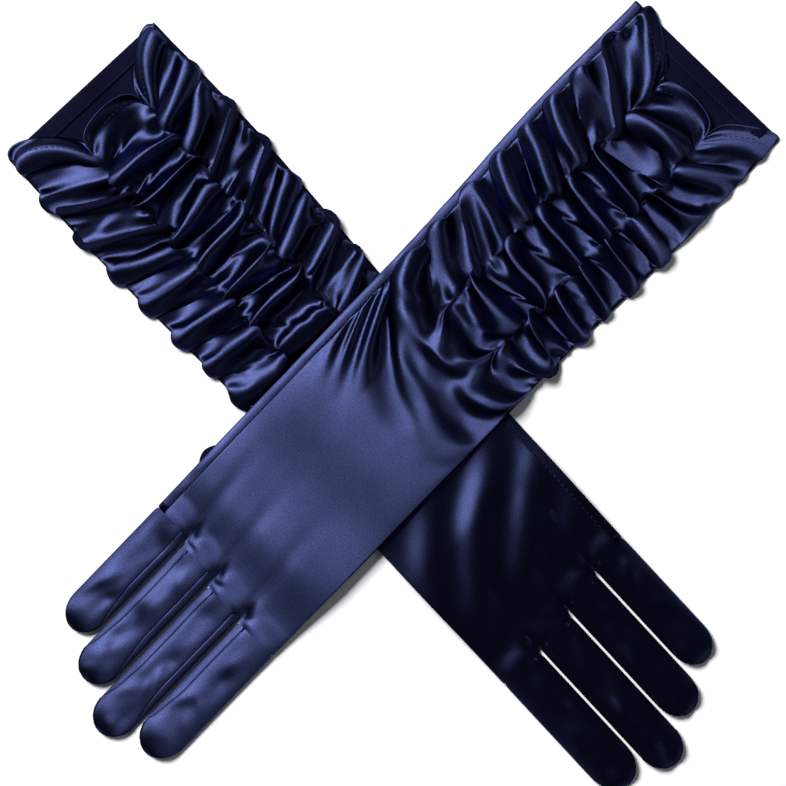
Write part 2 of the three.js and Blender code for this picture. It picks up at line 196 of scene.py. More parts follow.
def weave(tree, shader, scale, depth, low, high):
    """Fine woven bump, and a colour that drifts between low and high."""
    n = tree.nodes
    coord = n.new("ShaderNodeTexCoord")
    waves = []
    for direction, fine in (("X", scale), ("Y", scale * 0.8)):
        w = n.new("ShaderNodeTexWave")
        w.bands_direction = direction
        w.inputs["Scale"].default_value = fine
        w.inputs["Distortion"].default_value = 0.6
        link(tree, coord, "UV", w, "Vector")
        waves.append(w)
    cross = n.new("ShaderNodeMath")
    cross.operation = "MULTIPLY"
    link(tree, waves[0], "Fac", cross, 0)
    link(tree, waves[1], "Fac", cross, 1)
    bump = n.new("ShaderNodeBump")
    bump.inputs["Strength"].default_value = depth
    bump.inputs["Distance"].default_value = 0.00005
    link(tree, cross, "Value", bump, "Height")
    link(tree, bump, "Normal", shader, "Normal")
    drift = n.new("ShaderNodeTexNoise")
    drift.inputs["Scale"].default_value = CLOUD_SCALE
    drift.inputs["Detail"].default_value = 4
    link(tree, coord, "Object", drift, "Vector")
    ramp = n.new("ShaderNodeValToRGB")
    ramp.color_ramp.elements[0].color = (*low, 1)
    ramp.color_ramp.elements[1].color = (*high, 1)
    ramp.color_ramp.elements[0].position, ramp.color_ramp.elements[1].position = 0.3, 0.7
    link(tree, drift, "Fac", ramp, "Fac")
    grain = n.new("ShaderNodeTexNoise")
    grain.inputs["Scale"].default_value = GRAIN_SCALE
    grain.inputs["Detail"].default_value = 2
    link(tree, coord, "UV", grain, "Vector")
    light = n.new("ShaderNodeMapRange")
    light.inputs["From Min"].default_value, light.inputs["From Max"].default_value = 0.3, 0.7
    light.inputs["To Min"].default_value, light.inputs["To Max"].default_value = 1 - GRAIN, 1 + GRAIN
    link(tree, grain, "Fac", light, "Value")
    mix = n.new("ShaderNodeVectorMath")
    mix.operation = "MULTIPLY"
    link(tree, ramp, "Color", mix, 0)
    link(tree, light, "Result", mix, 1)
    link(tree, mix, "Vector", shader, "Base Color")


def satin_material():
    """Satin whose highlight spreads across the glove, because its tangent is the UV map's U."""
    mat, tree, shader = nodes_of("navy satin")
    weave(tree, shader, 900, 0.25, (0.0205, 0.0258, 0.071), (0.0285, 0.0345, 0.094))
    shader.inputs["Metallic"].default_value = 1.0
    shader.inputs["Specular Tint"].default_value = (0.5, 0.55, 0.85, 1)
    shader.inputs["Roughness"].default_value = 0.45
    shader.inputs["Anisotropic"].default_value = 0.85
    tangent = tree.nodes.new("ShaderNodeTangent")
    tangent.direction_type = "UV_MAP"
    tangent.uv_map = "UVMap"
    link(tree, tangent, "Tangent", shader, "Tangent")
    return mat


def matte_material(name, low, high, scale=700, roughness=0.75):
    mat, tree, shader = nodes_of(name)
    weave(tree, shader, scale, 0.5, low, high)
    shader.inputs["Roughness"].default_value = roughness
    shader.inputs["Specular IOR Level"].default_value = 0.1
    shader.inputs["Specular Tint"].default_value = (0.3, 0.35, 0.8, 1)
    return mat


SATIN = satin_material()
INSIDE = matte_material("satin reverse", (0.0016, 0.0018, 0.008), (0.0032, 0.0036, 0.014))
THREAD = matte_material("thread", (0.012, 0.015, 0.05), (0.02, 0.024, 0.075), 2500, 0.5)
ELASTIC = matte_material("elastic", (0.006, 0.006, 0.02), (0.01, 0.01, 0.03), 400)

# ---------------------------------------------------------------- meshes


def new_object(name, verts, faces, uvs=None, materials=(SATIN, INSIDE)):
    """A mesh object. Every face has as many corners as the others."""
    mesh = bpy.data.meshes.new(name)
    mesh.from_pydata([], [], [])
    mesh.vertices.add(len(verts))
    mesh.vertices.foreach_set("co", np.asarray(verts, np.float32).ravel())
    faces = np.asarray(faces, np.int32)
    mesh.loops.add(faces.size)
    mesh.loops.foreach_set("vertex_index", faces.ravel())
    mesh.polygons.add(len(faces))
    mesh.polygons.foreach_set("loop_start", np.arange(0, faces.size, faces.shape[1], dtype=np.int32))
    mesh.polygons.foreach_set("loop_total", np.full(len(faces), faces.shape[1], np.int32))
    mesh.polygons.foreach_set("use_smooth", np.ones(len(faces), bool))
    mesh.update(calc_edges=True)
    layer = mesh.uv_layers.new(name="UVMap")
    uv = np.zeros((len(verts), 2)) if uvs is None else np.asarray(uvs)
    layer.data.foreach_set("uv", uv[faces.ravel()].astype(np.float32).ravel())
    obj = bpy.data.objects.new(name, mesh)
    bpy.context.collection.objects.link(obj)
    for m in materials:
        mesh.materials.append(m)
    mesh.validate()
    return obj


def cloth(glove, name, grid, uv=None, thick=0.35, drop=None, materials=(SATIN, INSIDE), crisp=None):
    """A sheet of cloth over a grid of (s, v, z) points, its right side up. drop leaves out cells, and crisp
    is the row along which another piece carries the cloth on."""
    rows, columns = grid.shape[:2]
    if uv is None:
        uv = grid[..., 1::-1]
    k = np.arange(rows * columns).reshape(rows, columns)
    quads = np.stack([k[:-1, :-1], k[1:, :-1], k[1:, 1:], k[:-1, 1:]], -1)
    if drop is not None:
        quads = quads[~drop]
    quads = quads.reshape(-1, 4)
    if glove.mirror < 0:
        quads = quads[:, ::-1]
    used, back = np.unique(quads, return_inverse=True)
    quads = back.reshape(quads.shape)
    verts = glove.world(grid).reshape(-1, 3)[used]
    obj = new_object(f"{glove.name}_{name}", verts, quads, uv.reshape(-1, 2)[used] / 1000, materials)
    if crisp is not None:
        row = np.searchsorted(used, k[crisp])
        ends = np.zeros(len(obj.data.edges) * 2, np.int32)
        obj.data.edges.foreach_get("vertices", ends)
        on_row = np.isin(ends.reshape(-1, 2), row).all(1)
        sharp = obj.data.attributes.new("sharp_edge", "BOOLEAN", "EDGE")
        sharp.data.foreach_set("value", on_row)
    thickness(obj, thick)
    return obj


def thickness(obj, thick):
    """Smooths a sheet and gives it its thickness, downwards."""
    sub = obj.modifiers.new("smooth", "SUBSURF")
    sub.levels = sub.render_levels = 1
    solid = obj.modifiers.new("cloth", "SOLIDIFY")
    solid.thickness = thick / 1000
    solid.offset = -1
    solid.material_offset = 1 if len(obj.data.materials) > 1 else 0
    solid.use_quality_normals = True


def stitches(glove, name, path, pitch, length, radius):
    """Short stitches along a path of (s, v, z) points, each a bent bead with closed ends."""
    step = np.r_[0, np.cumsum(np.linalg.norm(np.diff(path, axis=0), axis=1))]
    starts = np.arange(0.3, step[-1] - length, pitch)
    # place along a stitch, then its radius and its lift, both as shares of radius
    shape = [(0.0, 0.35, -0.6), (0.2, 0.9, 0.0), (0.5, 1.0, 0.25), (0.8, 0.9, 0.0), (1.0, 0.35, -0.6)]
    verts, faces, sides = [], [], 6
    for start in starts:
        first = len(verts)
        at = lambda t: np.array([np.interp(start + t * length, step, path[:, k]) for k in range(3)])
        along = at(1) - at(0)
        along /= np.linalg.norm(along)
        side = np.cross(along, [0, 0, 1])
        side /= np.linalg.norm(side)
        up = np.cross(side, along)
        for t, r, lift in shape:
            centre = at(t) + up * radius * lift
            for n in range(sides):
                a = 2 * math.pi * n / sides
                verts.append(centre + radius * r * (math.cos(a) * side + math.sin(a) * up))
        for ring in range(len(shape) - 1):
            for n in range(sides):
                a, b = first + ring * sides + n, first + ring * sides + (n + 1) % sides
                faces.append((a, b, b + sides, a + sides))
        last = first + (len(shape) - 1) * sides
        faces += [(first + 3, first + 2, first + 1, first), (first, first + 5, first + 4, first + 3)]
        faces += [(last, last + 1, last + 2, last + 3), (last + 3, last + 4, last + 5, last)]
    faces = np.array(faces)
    if glove.mirror > 0:
        faces = faces[:, ::-1]
    return new_object(f"{glove.name}_{name}", glove.world(np.array(verts)), faces, None, (THREAD,))


# ---------------------------------------------------------------- the ruched back


def noise(rng, shape, cells):
    """A smooth random field from -1 to 1 with about that many cells."""
    c = rng.uniform(-1, 1, (cells[0] + 3, cells[1] + 3))
    y, x = np.linspace(0, cells[0], shape[0]), np.linspace(0, cells[1], shape[1])
    iy, ix = np.floor(y).astype(int), np.floor(x).astype(int)
    fy, fx = smooth(y - iy)[:, None], smooth(x - ix)[None, :]
    g = lambda a, b: c[np.ix_(iy + a, ix + b)]
    return (g(0, 0) * (1 - fy) + g(1, 0) * fy) * (1 - fx) + (g(0, 1) * (1 - fy) + g(1, 1) * fy) * fx


def wander(rng, n, cells):
    """A random line of n values from -1 to 1, straight between cells corners."""
    return np.interp(np.linspace(0, 1, n), np.linspace(0, 1, cells), rng.uniform(-1, 1, cells))


BEND = 0.14  # stiffness against bending
SHEAR = 0.06
SLACK = 0.7  # how far the cloth pushes back when it is pressed together
DAMP = 0.9
EASE = 0.025  # share by which a point is drawn towards the mean of its neighbours
ROW_GAP = 0.2  # least spacing of two rows along s, which keeps folds from toppling


def relax(P, w, h, hb, iters, floor, ceiling):
    """Settles a net of cloth points with rest spacings h along and hb across, between two heights. w is 0
    for a point that is sewn down. There is no self-collision, only the least spacing of the rows."""
    rows, columns, _ = P.shape
    groups = []

    def ties(di, dj, rest, stiff, press, pull):
        """Ties every point to the one di rows and dj columns on, in two turns that share no point."""
        step, count = (di, rows) if di else (dj, columns)
        for parity in (0, 1):
            first = np.array([i for i in range(count - step) if (i // step) % 2 == parity])
            if not di:
                groups.append((1, first, first + dj, None, None, rest[first], stiff, press, pull))
            else:
                left = slice(0, columns - dj) if dj >= 0 else slice(-dj, columns)
                right = slice(dj, columns) if dj >= 0 else slice(0, columns + dj)
                groups.append((0, first, first + di, left, right, rest, stiff, press, pull))

    at = np.r_[0, np.cumsum(hb)]
    ties(1, 0, h, 1.0, SLACK, 1.0)
    ties(0, 1, hb, 1.0, 0.6, 1.0)
    ties(1, 1, np.hypot(h, hb), SHEAR, 1, 1)
    ties(1, -1, np.hypot(h, hb), SHEAR, 1, 1)
    ties(2, 0, 2 * h, BEND, 1, 0)
    ties(0, 2, at[2:] - at[:-2], BEND, 1, 0)
    ties(4, 0, 4 * h, BEND * 1.6, 1, 0)
    ties(7, 0, 7 * h, BEND * 1.4, 1, 0)
    ties(0, 4, at[4:] - at[:-4], BEND * 0.3, 1, 0)
    before = P.copy()
    free = w > 0
    for it in range(iters):
        moved = (P - before) * DAMP
        before = P.copy()
        P = P + moved * w[..., None]
        for axis, A, B, ja, jb, rest, stiff, press, pull in groups:
            if axis == 0:
                a, b, wa, wb = P[A][:, ja], P[B][:, jb], w[A][:, ja], w[B][:, jb]
            else:
                a, b, wa, wb = P[:, A], P[:, B], w[:, A], w[:, B]
            d = b - a
            length = np.sqrt(np.einsum("ijk,ijk->ij", d, d)) + 1e-9
            off = length - rest
            off = np.where(off > 0, off * pull, off * press) * stiff
            fix = (off / length / np.maximum(wa + wb, 1e-6))[..., None] * d
            if axis == 0:
                moving = P[A]
                moving[:, ja] += wa[..., None] * fix
                P[A] = moving
                moving = P[B]
                moving[:, jb] -= wb[..., None] * fix
                P[B] = moving
            else:
                P[:, A] += wa[..., None] * fix
                P[:, B] -= wb[..., None] * fix
        tight = np.maximum(0, ROW_GAP - np.diff(P[..., 0], axis=0)) * 0.5
        P[1:, :, 0] += tight * w[1:]
        P[:-1, :, 0] -= tight * w[:-1]
        z = P[..., 2]
        z[:] = np.where((z < floor) & free, floor, z)
        z[:] = np.where((z > ceiling) & free, z + (ceiling - z) * 0.5, z)
        if it % 3 == 0:
            even = P.copy()
            even[1:-1, 1:-1] = 0.5 * P[1:-1, 1:-1] + 0.125 * (
                P[:-2, 1:-1] + P[2:, 1:-1] + P[1:-1, :-2] + P[1:-1, 2:])
            P += (even - P) * EASE * w[..., None]
    return P


def ruched(glove):
    """The gathered part of a back, settled: its grid of points, each column's share of the half width, the
    columns of its two lines and each row's length along the flat cloth."""
    rng = np.random.default_rng(glove.seed)
    gathered = FULLNESS * GATHER_END
    total = gathered + SMOOTH_FROM - GATHER_END
    rows = int(round(total / STEP)) + 1
    a = np.linspace(0, total, rows)
    edge = np.where(a < gathered, a / FULLNESS, GATHER_END + a - gathered)
    line_end = FULLNESS * (GATHER_END - glove.lag)
    line = np.where(a < line_end, BACK_DIP + (GATHER_END - BACK_DIP) * a / line_end,
                    GATHER_END + a - line_end)
    if glove.mirror > 0:
        fold = line - BACK_DIP * (1 - smooth(a / 75))
    else:
        fold = edge
    low = -1 + 4.5 / 44.3  # the side seam, as a share of the half width
    width = 88.0 * ACROSS_FULLNESS
    columns = int(round(width / STEP)) + 1
    q = low + (1 - low) * np.linspace(0, 1, columns)
    j1, j2 = [int(round((v / 45.5 - low) / (1 - low) * (columns - 1))) for v in glove.lines]
    n = np.arange(columns)
    share = np.where(n <= j1, n / j1, np.where(n <= j2, (n - j1) / (j2 - j1), (n - j2) / (columns - 1 - j2)))
    band = np.where(n <= j1, 0, np.where(n <= j2, 1, 2))
    drawn = 1 - smooth((a - line_end + 20) / 20)
    line = line + 2.3 * wander(rng, rows, 23) * drawn * smooth(a / 20)
    line2 = line + 2.6 * wander(rng, rows, 21) * drawn * smooth(a / 20)
    S = np.where(band == 0, edge[:, None] * (1 - share) + line[:, None] * share,
                 np.where(band == 1, line[:, None] * (1 - share) + line2[:, None] * share,
                          line2[:, None] * (1 - share) + fold[:, None] * share))
    S = S - 6 * np.where(band == 1, np.sin(np.pi * share), 0) * (1 - smooth(a / 40))[:, None]
    P = np.zeros((rows, columns, 3))
    P[..., 0], P[..., 1] = S, q * half(S)
    swell = np.where(band == 2, smooth(2 * share) * (1 - 0.6 * share), np.sin(np.pi * share))
    covers = (glove.mirror < 0) * (1 - smooth((edge - 145) / 45))  # where the gathers hide the seam band
    if glove.mirror < 0:
        swell = np.where(band == 0, smooth(2 - 2 * share) * (0.4 + 0.6 * share), swell)
    P[..., 1] -= 3.2 * covers[:, None] * np.where(band == 0, 1 - share, 0)
    phase = np.zeros((rows, columns))
    for k, pitch in enumerate(glove.pitch):
        drift = np.convolve(np.cumsum(rng.normal(0, 0.12, rows)), np.ones(9) / 9, "same")
        phase[:, band == k] = (a / pitch + rng.uniform(0, 1) + drift)[:, None]
    phase += 0.5 * noise(rng, (rows, columns), (26, 9)) + 0.7 * noise(rng, (rows, columns), (12, 5))
    puff = 4.4 * (1 + 0.6 * noise(rng, (rows, columns), (30, 6)))
    fade = 1 - smooth((S - GATHER_END + 5) / 30)
    top = FLAT + room(S) * crown(q)
    z = 1.3 + room(S) * crown(q) * 0.55
    z = z + (puff * np.sin(2 * np.pi * phase) * swell + 0.9 * noise(rng, (rows, columns), (50, 12))) * fade
    P[..., 2] = np.maximum(z * fade + top * (1 - fade) * 0.9, 1.0)
    w = np.ones((rows, columns))
    w[:, 0] = w[:, -1] = w[-1] = 0
    bumps = np.sin(2 * np.pi * phase[:, -1]) * (1 - smooth((fold - GATHER_END - 5) / 30))
    little = np.sin(2 * np.pi * phase[:, 0]) * covers
    P[:, 0, 2], P[:, -1, 2] = 1.4 + 0.7 * covers + 0.5 * little, 1.5 + 0.5 * bumps
    P[:, 0, 1] -= 0.5 * little
    P[:, 0, 0] += 0.5 * wander(rng, rows, 40) * (1 - smooth((edge - GATHER_END) / 20))
    P[:, -1, 1] += 0.5 * bumps - 0.3 + 0.5 * wander(rng, rows, 48) * (1 - smooth((fold - GATHER_END) / 30))
    P[-1, :, 2] = (FLAT + room(S) * crown(q))[-1]
    for j in (j1, j2):
        m = a < line_end
        w[m, j] = 0
        P[m, j, 2] = 2.6 + 0.5 * wander(rng, rows, 50)[m]
        P[m, j, 1] += 1.0 * wander(rng, rows, 22)[m] + 0.5 * wander(rng, rows, 60)[m]
        P[m, j, 0] += 0.45 * wander(rng, rows, 90)[m]
    apart = np.hypot(np.diff(P[..., 0], axis=1), np.diff(P[..., 1], axis=1))
    across = 1.05 * np.median(apart[: int(gathered / STEP)], axis=0)
    start = P.copy()
    below = 0.9 + 2.6 * np.clip(noise(rng, (rows, columns), (44, 12)), 0, 1) * crown(q) * fade
    iterations = 420
    P = relax(P, w, a[1] - a[0], across, iterations, below, CEILING + CEILING_RISE * crown(q))
    start[..., 2] = FLAT + room(S) * crown(start[..., 1] / half(S))
    calm = smooth((S - GATHER_END - 12) / 62)[..., None]
    P = P * (1 - calm) + start * calm
    return P, q, (j1, j2), a


def drape(glove, P):
    """Sets a glove-shaped grid down on whatever the glove lies on."""
    P = P.copy()
    P[..., 2] += glove.base(P[..., 0], P[..., 1])
    return P


def undulate(rng, S, V, size):
    """Soft lengthwise swells of the smooth cloth."""
    z = np.zeros(S.shape)
    for _ in range(7):
        across, along, ph = rng.uniform(0.06, 0.22), rng.uniform(-0.02, 0.02), rng.uniform(0, 6.3)
        z += rng.uniform(0.4, 1) * np.sin(across * V + along * S + ph)
    return size * z / 3


def crotches(S, V):
    """How far the cloth is drawn down where two fingers part."""
    z = np.zeros(S.shape)
    for v, root in zip(STEPS, (2.0, 8.0, 12.0)):
        r = np.hypot((S - ARM_LENGTH - root) / 1.7, V - v)
        angle = np.arctan2(V - v, ARM_LENGTH + root - S)
        z += 1.5 * np.exp(-((r / 3.0) ** 2)) + 0.4 * np.exp(-r / 6) * smooth(r / 2) * np.cos(6 * angle + v)
        behind = ARM_LENGTH + root - S
        line = V - v + 0.1 * behind
        groove = np.exp(-((line / (2.0 + 0.05 * np.abs(behind))) ** 2))
        z += 1.0 * groove * smooth(behind / 5) * smooth((72 - behind) / 50)
    return z


def pressed(glove, S, V):
    """Share of the hollow that is left at a place on a glove, once the upper glove lies on it."""
    if glove.under is not None:
        return np.ones(np.shape(S))
    x, y = S - glove.cross, glove.mirror * V
    upper = GLOVES["right"]
    v = upper.mirror * (-x * upper.s + y * upper.c)
    return 1 - (1 - PRESSED) * plateau(v, half(S), 26)


def hand_end(v):
    """s where the hand ends and a finger starts."""
    return ARM_LENGTH + np.select([v < STEPS[0], v < STEPS[1], v < STEPS[2]], [0.0, 5.0, 11.0], 13.0)


def rays(glove, S, V):
    """Wrinkles that spread from the ends of the two gathering lines."""
    rng = np.random.default_rng(glove.seed + 20)
    z = np.zeros(S.shape)
    for v in glove.lines:
        r = np.hypot(S - GATHER_END, V - v) + 1e-6
        angle = np.arctan2(V - v, S - GATHER_END)
        ahead = smooth((S - GATHER_END + 6) / 14)
        size = 1.5 * np.exp(-r / 30) * smooth(r / 9)
        start = rng.uniform(0, 6)
        z += ahead * size * np.sin(7.5 * angle + start + 1.2 * np.sin(3 * angle + rng.uniform(0, 6)))
    return z


def back(glove):
    """The whole back as a grid, from the cuff to the fingers, with its UVs."""
    P, q, lines, a = ruched(glove)
    rng = np.random.default_rng(glove.seed + 7)
    target = q.copy()
    for v in STEPS:
        j = int(np.searchsorted(q, v / HAND_HALF)) - 1
        target[j], target[j + 1] = (v - 0.3) / HAND_HALF, (v + 0.3) / HAND_HALF
    count = 42
    t = np.linspace(0, 1, count + 1)[1:, None]
    end = hand_end(target * HAND_HALF)
    from_s = P[-1, :, 0]
    S = from_s + t * (end - from_s)
    Q = q + (target - q) * smooth(t * 1.4)
    V = Q * half(S)
    stall = np.zeros(V.shape)
    for _, v0, v1, root, length, _ in FINGERS:
        w = V - (v0 + v1) / 2
        top = stall_top(0.0, w, v1 - v0, length, FINGER_TOP)
        stall = np.maximum(stall, np.where(np.abs(w) < (v1 - v0) / 2 + 0.9, top, 0))
    middles = [(v0 + v1) / 2 for _, v0, v1, *_ in FINGERS]
    root = np.interp(V, middles, [ARM_LENGTH + f[3] for f in FINGERS])
    near = smooth((S - (root - 13)) / 13)
    Z = (FLAT + room(S) * crown(Q)) * (1 - near) + np.maximum(stall, FLAT) * near
    grid = np.concatenate([P, np.stack([S, V, Z], -1)])
    S, V = grid[..., 0], grid[..., 1]
    inner = np.clip(1 - np.abs(V / half(S)) ** 4, 0, 1)
    fadeout = 1 - 0.7 * smooth((S - 290) / 35)
    waves = undulate(rng, S, V, 0.5)
    if glove.under is None:
        away = (S - V) / math.sqrt(2)
        slanted = np.sin(0.26 * away + 0.5 * np.sin(0.05 * (S + V)) + 1.0)
        waves = waves * 0.6 + 1.05 * slanted * smooth((S - 215) / 40)
    extra = (waves * fadeout + rays(glove, S, V)) * inner * smooth((S - GATHER_END + 4) / 16)
    grid[..., 2] += extra
    grid[len(P):, :, 2] -= extra[len(P):] * near
    grid[..., 2] = 1.2 + (grid[..., 2] - 1.2) * pressed(glove, S, V)
    grid[..., 2] -= crotches(S, V)
    grid[..., 2] = np.maximum(grid[..., 2], LOWEST)
    calm = smooth((S - GATHER_END - 12) / 62)
    ahead = FULLNESS * (GATHER_END - glove.lag) - GATHER_END
    length = np.concatenate([np.repeat(a[:, None], len(q), 1), a[-1] + S[len(P):] - from_s])
    length = length * (1 - calm) + (S + ahead) * calm
    uv = np.stack([np.concatenate([np.repeat(q[None], len(P), 0), Q]) * CUFF_HALF, length], -1)
    low = glove.base(grid[..., 0], grid[..., 1])
    own = thumb_rise(grid[..., 0])
    own[len(P):] *= 1 - near
    grid[..., 2] += low - 0.85 * own * crown(grid[..., 1] / half(grid[..., 0]))
    return grid, uv, lines, len(P)


# ---------------------------------------------------------------- building a glove


GLOVES = {"left": LEFT, "right": RIGHT}


def plain_name(g, obj):
    """A piece's name without its glove, and without the number Blender adds beside a node of that name."""
    return obj.name[len(g.name) + 1:].split(".")[0]


def add(g, made, obj, nodes):
    """Makes a piece ride on the glove's hand, in place of its CAD nodes."""
    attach(obj, f"{g.name}_hand")
    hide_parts(*[f"{g.name}_{n}" for n in nodes])
    made[plain_name(g, obj)] = obj


def palm_panel(g, rng, made):
    s = np.r_[np.linspace(0, 250, 90), np.linspace(252, 325, 52)]
    t = np.linspace(-1, 1, 57)
    for v in STEPS:
        j = int(np.searchsorted(t, v / HAND_HALF)) - 1
        t[j], t[j + 1] = (v - 0.3) / HAND_HALF, (v + 0.3) / HAND_HALF
    S = np.repeat(s[:, None], len(t), 1)
    S = np.concatenate([S, hand_end(t * HAND_HALF)[None]])
    V = t * half(S)
    P = drape(g, np.stack([S, V, FABRIC + 0 * S], -1))
    P[..., 2] += 0.25 * np.clip(undulate(rng, S, V, 0.8) + 0.4, 0, 1) * smooth((1 - np.abs(t)) * 8)
    centre = (S[:-1, :-1] + S[1:, 1:]) / 2, (V[:-1, :-1] + V[1:, 1:]) / 2
    hole = np.hypot(centre[0] - THUMB_AT, centre[1] - HOLE_AT) < HOLE_RADIUS - 0.4
    panel = cloth(g, "palm_panel", P, thick=0.4, drop=hole, materials=(INSIDE, SATIN))
    add(g, made, panel, ("palm_arm", "palm_hand"))


def side_seam(g, rng, made):
    """The band that wraps the glove's edge, and its stitches. The lower glove's is flatter, because its
    gathers hang over it."""
    s = np.r_[np.linspace(0, 320, 150), ARM_LENGTH - 0.2]
    across = np.array([0, 0.12, 0.35, 0.6, 0.85, 1.0])
    height = np.array([0.35, 0.6, 0.9, 1.0, 1.0, 0.95])
    unevenness, stitch_height = 0.05, 1.12
    if g.under:
        height = np.array([0.35, 0.85, 1.45, 1.6, 1.5, 1.3])
        unevenness, stitch_height = 0.25, 1.72
    S = np.repeat(s[:, None], len(across), 1)
    V = -half(S) + across * BAND_WIDTH
    Z = height + 0 * S + unevenness * noise(rng, S.shape, (40, 2)) * np.array([0, 1, 1, 1, 1, 0.6])
    V = V + 0.25 * wander(rng, len(s), 60)[:, None] * (1 - smooth((S - 150) / 30))
    band = cloth(g, "side_seam_band", drape(g, np.stack([S, V, Z], -1)))
    add(g, made, band, ("side_seam_band",))
    seam = (V[:, -1] + 0.1)[1:-1]
    path = np.stack([s[1:-1], seam, np.full(len(s) - 2, stitch_height)], -1)
    thread = stitches(g, "side_seam_thread", drape(g, path), 2.9, 1.9, 0.2)
    add(g, made, thread, ("side_seam_thread",))


def palm_hem(g, rng, made):
    """The turned hem inside the cuff, sewn with a zigzag."""
    reach = CUFF_HALF - HEM_INSET
    s = np.array([0.5, 1.0, 2.5, 4.5, 6.5, 8.0, 8.5])
    height = np.array([0.95, 1.35, 1.5, 1.5, 1.5, 1.4, 1.15])
    columns, stitches_across = 60, 60
    S = np.repeat(s[:, None], columns, 1)
    V = np.linspace(-1, 1, columns) * reach + 0 * S
    Z = height[:, None] + 0.12 * noise(rng, S.shape, (2, 16))
    hem = cloth(g, "palm_hem", drape(g, np.stack([S, V, Z], -1)), materials=(INSIDE, INSIDE))
    add(g, made, hem, ("palm_hem",))
    zigzag = 7.0 + 0.7 * (np.arange(stitches_across) % 2)
    along = np.linspace(-reach + 2, reach - 2, stitches_across)
    path = np.stack([zigzag, along, np.full(stitches_across, 1.75)], -1)
    thread = stitches(g, "palm_hem_thread", drape(g, path), 1.45, 1.2, 0.17)
    add(g, made, thread, ("palm_hem_thread",))


def back_hem(g, grid, made):
    """The turned hem under the back's edge, and its stitches on top."""
    inner = slice(3, grid.shape[1] - 4)
    strip = grid[:6, inner].copy()
    strip[..., 2] = np.maximum(strip[..., 2] - 0.75, 0.8)
    hem = cloth(g, "back_hem", strip, materials=(INSIDE, INSIDE), thick=0.3)
    add(g, made, hem, ("back_hem",))
    path = grid[4, inner].copy()
    path[:, 2] += 0.16
    thread = stitches(g, "back_hem_thread", path, 2.6, 1.7, 0.19)
    add(g, made, thread, ("back_hem_thread",))


def elastics(g, grid, columns, settled, made):
    """The two gathering elastics, which follow their columns of the back from below."""
    for j, side in zip(columns, ("little_side", "thumb_side")):
        line = grid[6:settled:2, j]
        line = line[line[:, 0] < GATHER_END]
        P = np.repeat(line[:, None], 3, 1)
        P[..., 1] += np.array([-1.5, 0, 1.5])
        P[..., 2] -= 0.75
        P[..., 2] += np.array([-0.15, 0.0, -0.15])
        elastic = cloth(g, f"elastic_{side}", P, thick=0.4, materials=(ELASTIC,))
        add(g, made, elastic, (f"elastic_{side}",))


def make_glove(g):
    """Makes every piece of a glove, and returns them by name."""
    made = {}
    rng = np.random.default_rng(g.seed + 50)
    grid, uv, line_columns, settled = back(g)
    panel = cloth(g, "back_panel", grid, uv, crisp=-1)
    add(g, made, panel, ("back_arm", "back_wrist", "back_hand"))
    palm_panel(g, rng, made)
    side_seam(g, rng, made)
    palm_hem(g, rng, made)
    back_hem(g, grid, made)
    elastics(g, grid, line_columns, settled, made)
    for spec in FINGERS:
        finger(g, spec, rng, made)
    thumb(g, made)
    return made


def stall_half(s, width, length):
    """Half the width of a finger at s from its root."""
    rounding = TIP_ROUNDING * width
    into = np.clip((s - (length - rounding)) / rounding, 0, 1)
    return width / 2 * np.sqrt(1 - into ** 2)


def stall_top(s, w, width, length, thick):
    """Height of a finger's top at s from its root and w from its middle."""
    closing = stall_half(s, width, length) / (width / 2)
    return FLAT + (thick - FLAT) * closing * np.clip(1 - np.abs(w / (width / 2)) ** 3, 0, None) ** 0.8


